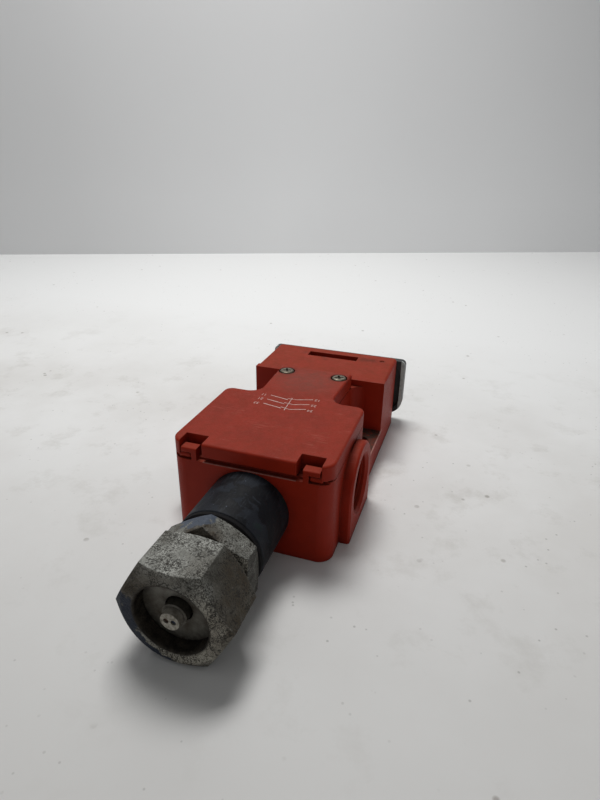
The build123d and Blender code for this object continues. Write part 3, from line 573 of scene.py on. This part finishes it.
# %% [markdown]
# ## Dark painted sleeve, dull steel and plated steel
# The sleeve is slate-blue, almost black, and scuffed in broad pale clouds. The washer inside the nut is
# dirty steel. Locknut and terminals are plated, and the two lid screws have lost most of their shine.
# Rubber and plastics use the same function with other numbers, because they differ only in tone, gloss and
# dirt with the painted shade in their corners.


# %% One function for plain worn surfaces
def worn(name, body, second, size, rub_and_highlight, metal=0.0, rough=(0.4, 0.55), dirt_shade_colour=(0.02, 0.015, 0.01),
         dirt_shade_amount=0.6, dirt_shade_reach=0.002, mirror=0.5):
    """Two body tones in clouds of one size, rubbed edges partly painted as highlights, and dirt with painted
    shade in the corners.
    """
    material, tree, shader, place = start_material(name)
    clouds = ramp(tree, noise(tree, place, size, 6.0, 0.65), 0.36, 0.68)
    colour = mix(tree, clouds, body, second)
    # Rubbed edges: lighter from wear, and partly a painted highlight where they catch the light.
    edge = effect(tree, edge_wear_highlight_group, place, Radius=0.0003, Breakup=1500.0)["Mask"]
    colour = mix(tree, math_step(tree, "MULTIPLY", edge, 0.4), colour, rub_and_highlight)
    # Dirt and painted shade: corners and gaps are painted darker.
    dirt_and_shade = effect(tree, dirt_shade_group, place, Open=openness(tree, dirt_shade_reach), Breakup=800.0)["Mask"]
    colour = mix(tree, math_step(tree, "MULTIPLY", dirt_and_shade, dirt_shade_amount), colour, dirt_shade_colour)
    plug(tree, colour, shader.inputs["Base Color"])
    plug(tree, ramp(tree, clouds, 0.0, 1.0, rough[0], rough[1]), shader.inputs["Roughness"])
    shader.inputs["Metallic"].default_value = metal
    shader.inputs["Specular IOR Level"].default_value = mirror
    grain = effect(tree, grain_group, place, Size=3200.0)
    relief(tree, shader, grain["Height"], 0.00003, 0.0002)
    return material


screws = worn("old_lid_screws", (0.21, 0.185, 0.140), (0.095, 0.075, 0.050),
              900.0, (0.46, 0.42, 0.34), 0.75,
              (0.36, 0.6), dirt_shade_amount=0.95, dirt_shade_reach=0.003)
plated = worn("plated_steel", (0.40, 0.38, 0.33), (0.22, 0.19, 0.14),
              500.0, (0.6, 0.58, 0.52), 0.85, (0.32, 0.5))
bright = worn("bright_steel", (0.55, 0.55, 0.54), (0.42, 0.42, 0.41),
              700.0, (0.7, 0.7, 0.7), 1.0, (0.22, 0.34))
washer_steel = worn("dirty_washer", (0.185, 0.175, 0.150), (0.075, 0.060, 0.042),
                    240.0, (0.30, 0.29, 0.26), 0.4,
                    (0.45, 0.7), dirt_shade_amount=0.9, dirt_shade_reach=0.004)
rubber = worn("black_rubber", (0.009, 0.009, 0.010), (0.016, 0.015, 0.015),
              300.0, (0.03, 0.03, 0.03), 0.0, (0.75, 0.9),
              mirror=0.08)
black_plastic = worn("black_moulding", (0.018, 0.018, 0.020), (0.028, 0.028, 0.029),
                     220.0, (0.08, 0.08, 0.08))
cream_plastic = worn("cream_moulding", (0.60, 0.53, 0.37), (0.50, 0.43, 0.29), 220.0, (0.7, 0.65, 0.5),
                     dirt_shade_colour=(0.2, 0.15, 0.08))
brass = worn("contact_brass", (0.62, 0.44, 0.17), (0.48, 0.32, 0.11),
             600.0, (0.8, 0.62, 0.3), 1.0, (0.25, 0.4))
brown_core = worn("brown_core", (0.050, 0.018, 0.008), (0.075, 0.030, 0.014), 500.0, (0.12, 0.06, 0.04))
blue_core = worn("blue_core", (0.012, 0.022, 0.050), (0.020, 0.035, 0.080), 500.0, (0.04, 0.07, 0.15))
print("materials so far:", len(bpy.data.materials))
dress(screws, "lid_screws")
dress(plated, "head_screws", "terminal_screws", "gland_locknut")
dress(bright, "cam_axle", "plunger", "return_spring")
dress(washer_steel, "slip_washer")
dress(rubber, "lid_gasket", "head_gasket", "plunger_seal", "plug_seal", "seal_ring", "cable_grommet")
dress(black_plastic, "contact_block", "entry_plug")
dress(cream_plastic, "cam_wheel", "contact_carrier")
dress(brass, "bridge_contacts", "terminal_straps")
dress(brown_core, "cable_core_brown")
dress(blue_core, "cable_core_blue")

# %% [markdown]
# ## The scuffed sleeve
# The long sleeve carries peeling paint: near-black where it is sound, slate-blue with hard edges where the
# top coat has come off, and thin scuffs along its length. Hard-edged patches come from a narrow ramp over
# cloudy noise.

# %% Sleeve paint
material, tree, shader, place = start_material("scuffed_sleeve")
cloud = noise(tree, place, 95.0, 5.0, 0.6)
base = mix(tree, ramp(tree, cloud, 0.485, 0.505), (0.0050, 0.0058, 0.0078), (0.0120, 0.0140, 0.0185))
second = noise(tree, place, 190.0, 5.0, 0.65)
up = ramp(tree, facing(tree, "Z"), 0.25, 0.9)
base = mix(tree, both(tree, ramp(tree, second, 0.54, 0.57), up), base, (0.016, 0.019, 0.025))
base = mix(tree, math_step(tree, "MULTIPLY", ramp(tree, cloud, 0.60, 0.64), 0.7), base, (0.012, 0.020, 0.019))
draw = tree.nodes.new("ShaderNodeMapping")
plug(tree, place, draw.inputs["Vector"])
draw.inputs["Scale"].default_value = (1700.0, 190.0, 1700.0)
draw.inputs["Rotation"].default_value = (0.0, 0.0, math.radians(24))
rubbed = both(tree, ramp(tree, noise(tree, draw.outputs["Vector"], 1.0, 3.0), 0.56, 0.68), up,
              ramp(tree, noise(tree, place, 120.0, 3.0), 0.44, 0.60))
base = mix(tree, math_step(tree, "MULTIPLY", rubbed, 0.7), base, (0.032, 0.038, 0.046))
chips = both(tree, ramp(tree, cells(tree, place, 420.0), 0.09, 0.05),
             ramp(tree, noise(tree, place, 150.0, 2.0), 0.56, 0.6))
base = mix(tree, chips, base, (0.11, 0.13, 0.17))
# Dirt and painted shade: corners and gaps are painted darker.
dirt_and_shade = effect(tree, dirt_shade_group, place, Open=openness(tree, 0.003), Breakup=500.0)["Mask"]
base = mix(tree, math_step(tree, "MULTIPLY", dirt_and_shade, 0.7), base, (0.010, 0.008, 0.006))
plug(tree, base, shader.inputs["Base Color"])
plug(tree, ramp(tree, second, 0.40, 0.60, 0.52, 0.72), shader.inputs["Roughness"])
shader.inputs["Specular IOR Level"].default_value = 0.17
skin = math_step(tree, "MULTIPLY_ADD", cloud, 1.5, noise(tree, place, 2400.0, 2.0))
relief(tree, shader, skin, 0.00007, 0.0003)
print("sleeve:", material.name)
dress(material, "gland_sleeve")

# %% [markdown]
# ## The cover's highlit rim
# The plate on the far end is almost black inside its rim, and its rim is painted light grey as a painted
# highlight.

# %% Cover
material, tree, shader, place = start_material("dark_cover")
tone = mix(tree, ramp(tree, noise(tree, place, 260.0, 5.0), 0.38, 0.64),
           (0.020, 0.022, 0.023), (0.034, 0.037, 0.037))
depth = ramp(tree, axis_value(tree, place, "Y"), 0.0392, 0.0388)
side = math_step(tree, "ABSOLUTE", axis_value(tree, place, "X"))
# Painted highlight: the rim's front is painted light grey where it catches the light.
rim_highlight_breakup = ramp(tree, noise(tree, place, 700.0, 5.0), 0.28, 0.5, 0.55, 1.0)
highlit_rim = both(tree, ramp(tree, side, 0.0276, 0.0279), depth, rim_highlight_breakup)
tone = mix(tree, highlit_rim, tone, (0.440, 0.480, 0.455))
# Rubbed edges: lighter from wear, and partly a painted highlight where they catch the light.
edge = effect(tree, edge_wear_highlight_group, place, Radius=0.0004, Breakup=1500.0)["Mask"]
tone = mix(tree, math_step(tree, "MULTIPLY", edge, 0.5), tone, (0.24, 0.24, 0.23))
# Dirt and painted shade: corners and gaps are painted darker.
dirt_and_shade = effect(tree, dirt_shade_group, place, Open=openness(tree, 0.0025), Breakup=600.0)["Mask"]
tone = mix(tree, math_step(tree, "MULTIPLY", dirt_and_shade, 0.9), tone, (0.008, 0.007, 0.006))
plug(tree, tone, shader.inputs["Base Color"])
plug(tree, ramp(tree, highlit_rim, 0.0, 1.0, 0.5, 0.66), shader.inputs["Roughness"])
relief(tree, shader, noise(tree, place, 2600.0, 3.0), 0.00006, 0.0003)
print("cover:", material.name)
dress(material, "end_slot_cover")

# %% [markdown]
# ## The cable's sheath
# The cable was cut off close to the nut. Its cut face is pale and chalky, and the skin behind it is painted
# dark as shade where it runs into the nut's mouth. The face looks along -Y, so the direction of the surface
# tells the two apart.

# %% Cable sheath
material, tree, shader, place = start_material("old_sheath")
cut = ramp(tree, facing(tree, "Y"), -0.5, -0.9)
skin = mix(tree, ramp(tree, noise(tree, place, 500.0, 5.0), 0.35, 0.65),
           (0.16, 0.14, 0.11), (0.34, 0.31, 0.26))
sheath_mouth_shade = mix(tree, ramp(tree, noise(tree, place, 700.0, 5.0), 0.35, 0.65),
            (0.020, 0.017, 0.012), (0.058, 0.050, 0.038))
face = mix(tree, ramp(tree, noise(tree, place, 1100.0, 4.0), 0.38, 0.62),
           (0.44, 0.41, 0.35), (0.21, 0.19, 0.15))
colour = mix(tree, cut, skin, face)
# Painted shade: the skin that runs back into the nut's mouth is painted dark.
colour = mix(tree, ramp(tree, axis_value(tree, place, "Y"), -0.1034, -0.1031), colour, sheath_mouth_shade)
# Dirt and painted shade: corners and gaps are painted darker.
dirt_and_shade = effect(tree, dirt_shade_group, place, Open=openness(tree, 0.0015), Breakup=900.0)["Mask"]
colour = mix(tree, math_step(tree, "MULTIPLY", dirt_and_shade, 0.7), colour, (0.02, 0.015, 0.01))
plug(tree, colour, shader.inputs["Base Color"])
plug(tree, ramp(tree, cut, 0.0, 1.0, 0.55, 0.8), shader.inputs["Roughness"])
relief(tree, shader, noise(tree, place, 2500.0, 3.0), 0.00008, 0.0002)
print("sheath:", material.name)
dress(material, "cable_jacket")

# %% [markdown]
# ## Bench and wall surfaces
# The bench is a pale laminate with grey smudges, scuffs, dust and small dark crumbs, and a painted light
# falloff makes it greyer near the camera than far away. The wall is plain, with painted shade that makes it
# darker towards the top and the left.

# %% Bench and wall surfaces
material, tree, shader, place = start_material("pale_bench")
smudge = ramp(tree, noise(tree, place, 14.0, 6.0, 0.6), 0.40, 0.66)
colour = mix(tree, math_step(tree, "MULTIPLY", smudge, 0.50), (0.79, 0.785, 0.77), (0.63, 0.61, 0.58))
scuff = ramp(tree, noise(tree, place, 48.0, 6.0, 0.7), 0.54, 0.70)
colour = mix(tree, math_step(tree, "MULTIPLY", scuff, 0.45), colour, (0.50, 0.48, 0.44))
# Painted light falloff: the bench is painted darker towards the camera and lighter far away.
y_bench = axis_value(tree, place, "Y")
colour = mix(tree, ramp(tree, y_bench, -0.02, -0.15), colour, (0.62, 0.61, 0.59))
colour = mix(tree, ramp(tree, y_bench, 0.03, 0.16), colour, (0.84, 0.84, 0.83))
tiny = ramp(tree, cells(tree, place, 260.0), 0.110, 0.060)
tiny = math_step(tree, "MULTIPLY", tiny, ramp(tree, noise(tree, place, 31.0, 3.0), 0.48, 0.58))
colour = mix(tree, math_step(tree, "MULTIPLY", tiny, 0.50), colour, (0.25, 0.24, 0.22))
crumbs = ramp(tree, cells(tree, place, 95.0), 0.100, 0.060)
few = ramp(tree, noise(tree, place, 23.0, 3.0), 0.53, 0.60)
colour = mix(tree, math_step(tree, "MULTIPLY", math_step(tree, "MULTIPLY", crumbs, few), 0.55), colour,
             (0.20, 0.17, 0.14))
plug(tree, colour, shader.inputs["Base Color"])
shader.inputs["Roughness"].default_value = 0.62
bench.data.materials.append(material)
material, tree, shader, place = start_material("pale_wall")
colour = mix(tree, ramp(tree, noise(tree, place, 3.0, 3.0), 0.3, 0.7), (0.76, 0.76, 0.76), (0.80, 0.80, 0.80))
# Painted shade: the wall is painted darker towards the top and towards the left.
high = ramp(tree, axis_value(tree, place, "Z"), 0.05, 0.30)
colour = mix(tree, math_step(tree, "MULTIPLY", high, 0.7), colour, (0.50, 0.50, 0.50))
far_left = ramp(tree, axis_value(tree, place, "X"), -0.15, -0.34)
colour = mix(tree, math_step(tree, "MULTIPLY", far_left, 0.6), colour, (0.58, 0.58, 0.58))
plug(tree, colour, shader.inputs["Base Color"])
shader.inputs["Roughness"].default_value = 0.7
wall.data.materials.append(material)
print("materials:", len(bpy.data.materials))

# %% [markdown]
# ## The thread in the open conduit entry
# The open entry is moulded with a coarse conduit thread. A thread is one small profile swept in a helix, so
# a three-cornered face is placed at the wall of the hole and a Screw modifier turns it about the hole's
# axis. The ends are then closed.

# %% Conduit thread
entry_low, entry_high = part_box("plug_seal")
entry_y = (entry_low[1] + entry_high[1]) / 2
entry_z = (entry_low[2] + entry_high[2]) / 2
print("side entry axis at y, z:", round(entry_y, 5), round(entry_z, 5))


def helix_ridge(name, radius, start, pitch, turns, ridge, axis_y, axis_z, steps=40):
    """A three-cornered ridge wound about a line along X, with closed ends."""
    deselect()
    bpy.ops.mesh.primitive_circle_add(vertices=3, radius=ridge, fill_type="NGON",
                                      location=(start, axis_y, axis_z + radius),
                                      rotation=(math.radians(90), 0.0, 0.0))
    piece = bpy.context.object
    bpy.ops.object.transform_apply(location=False, rotation=True, scale=True)
    bpy.context.scene.cursor.location = (start, axis_y, axis_z)
    bpy.ops.object.origin_set(type="ORIGIN_CURSOR")
    screw = piece.modifiers.new("wind", "SCREW")
    screw.axis = "X"
    screw.angle = math.radians(360 * turns)
    screw.screw_offset = pitch * turns
    screw.steps = int(steps * turns)
    screw.render_steps = screw.steps
    screw.use_merge_vertices = False
    bpy.ops.object.modifier_apply(modifier=screw.name)
    bpy.ops.object.mode_set(mode="EDIT")
    bpy.ops.mesh.select_all(action="DESELECT")
    bpy.ops.mesh.select_non_manifold(extend=False, use_wire=False, use_boundary=True, use_multi_face=False,
                                     use_non_contiguous=False, use_verts=False)
    bpy.ops.mesh.edge_face_add()
    bpy.ops.mesh.select_all(action="SELECT")
    bpy.ops.mesh.normals_make_consistent(inside=False)
    bpy.ops.object.mode_set(mode="OBJECT")
    return settle(piece, name)


thread_radius = 9.15 * mm
thread_start = 21.9 * mm
thread_pitch = 1.5 * mm
thread_turns = 3.4
ridge_size = 0.55 * mm
entry_thread = helix_ridge("entry_thread", thread_radius, thread_start, thread_pitch, thread_turns, ridge_size,
                           entry_y, entry_z)
entry_thread.data.materials.append(housing_red)
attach(entry_thread, "switch_body")

# %% [markdown]
# ## Print on the lid
# The real lid carries white print. Here only what any such switch may show is drawn: three contact lines,
# each with a break and a slanted blade, and the plain numbers of their terminals. They are thin raised
# pieces, two hundredths of a millimetre high, turned to be read from the head's side.

# %% Contact lines
lid_top = 33.0
mark_height = 0.02
marks = []


def bar(x0, y0, x1, y1, width=0.32):
    """A thin printed line between two places on the lid."""
    deselect()
    length = math.hypot(x1 - x0, y1 - y0)
    middle = ((x0 + x1) / 2 * mm, (y0 + y1) / 2 * mm, lid_top * mm)
    bpy.ops.mesh.primitive_plane_add(size=1.0, location=middle,
                                     rotation=(0.0, 0.0, math.atan2(y1 - y0, x1 - x0)))
    piece = bpy.context.object
    piece.scale = (length * mm, width * mm, 1.0)
    bpy.ops.object.transform_apply(location=False, rotation=False, scale=True)
    bpy.ops.object.mode_set(mode="EDIT")
    bpy.ops.mesh.select_all(action="SELECT")
    bpy.ops.mesh.extrude_region_move(TRANSFORM_OT_translate={"value": (0.0, 0.0, mark_height * mm)})
    bpy.ops.mesh.select_all(action="SELECT")
    bpy.ops.mesh.normals_make_consistent(inside=False)
    bpy.ops.object.mode_set(mode="OBJECT")
    marks.append(piece)


for left, right in (((-7.9, -21.6), (6.8, -20.2)),
                    ((-7.9, -25.0), (6.8, -24.2)),
                    ((-7.9, -28.4), (6.8, -28.0))):
    bar(*left, -1.2, left[1] - 1.5)
    bar(1.7, right[1] - 1.9, *right)
    bar(-1.6, left[1] - 0.6, 1.9, right[1] - 1.9, 0.24)
bar(0.3, -31.0, -0.2, -21.4, 0.22)
print("printed bars:", len(marks))


# %% Terminal numbers
def number(text, x, y, size=2.0):
    """A plain number, turned half round so it reads from the head's side."""
    deselect()
    bpy.ops.object.text_add(location=(x * mm, y * mm, lid_top * mm), rotation=(0.0, 0.0, math.pi))
    piece = bpy.context.object
    piece.data.body = text
    piece.data.size = size * mm
    piece.data.align_x = "CENTER"
    piece.data.align_y = "CENTER"
    piece.data.extrude = mark_height * mm
    piece.data.resolution_u = 3
    bpy.ops.object.convert(target="MESH")
    marks.append(bpy.context.object)


for text, x, y in (("11", -10.3, -21.9), ("21", -10.3, -25.3), ("33", -10.3, -28.8),
                   ("12", 8.4, -20.3), ("22", 8.4, -24.6), ("34", 8.4, -28.6)):
    number(text, x, y)
pick(*marks)
bpy.ops.object.join()
lid_marks = settle(bpy.context.object, "lid_marks")

# %% Print ink
material, tree, shader, place = start_material("worn_print")
fade = ramp(tree, noise(tree, place, 900.0, 5.0, 0.7), 0.38, 0.66)
plug(tree, mix(tree, fade, (0.62, 0.50, 0.46), (0.42, 0.22, 0.18)), shader.inputs["Base Color"])
plug(tree, ramp(tree, fade, 0.0, 1.0, 0.5, 0.65), shader.inputs["Roughness"])
lid_marks.data.materials.append(material)
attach(lid_marks, "lid_body")
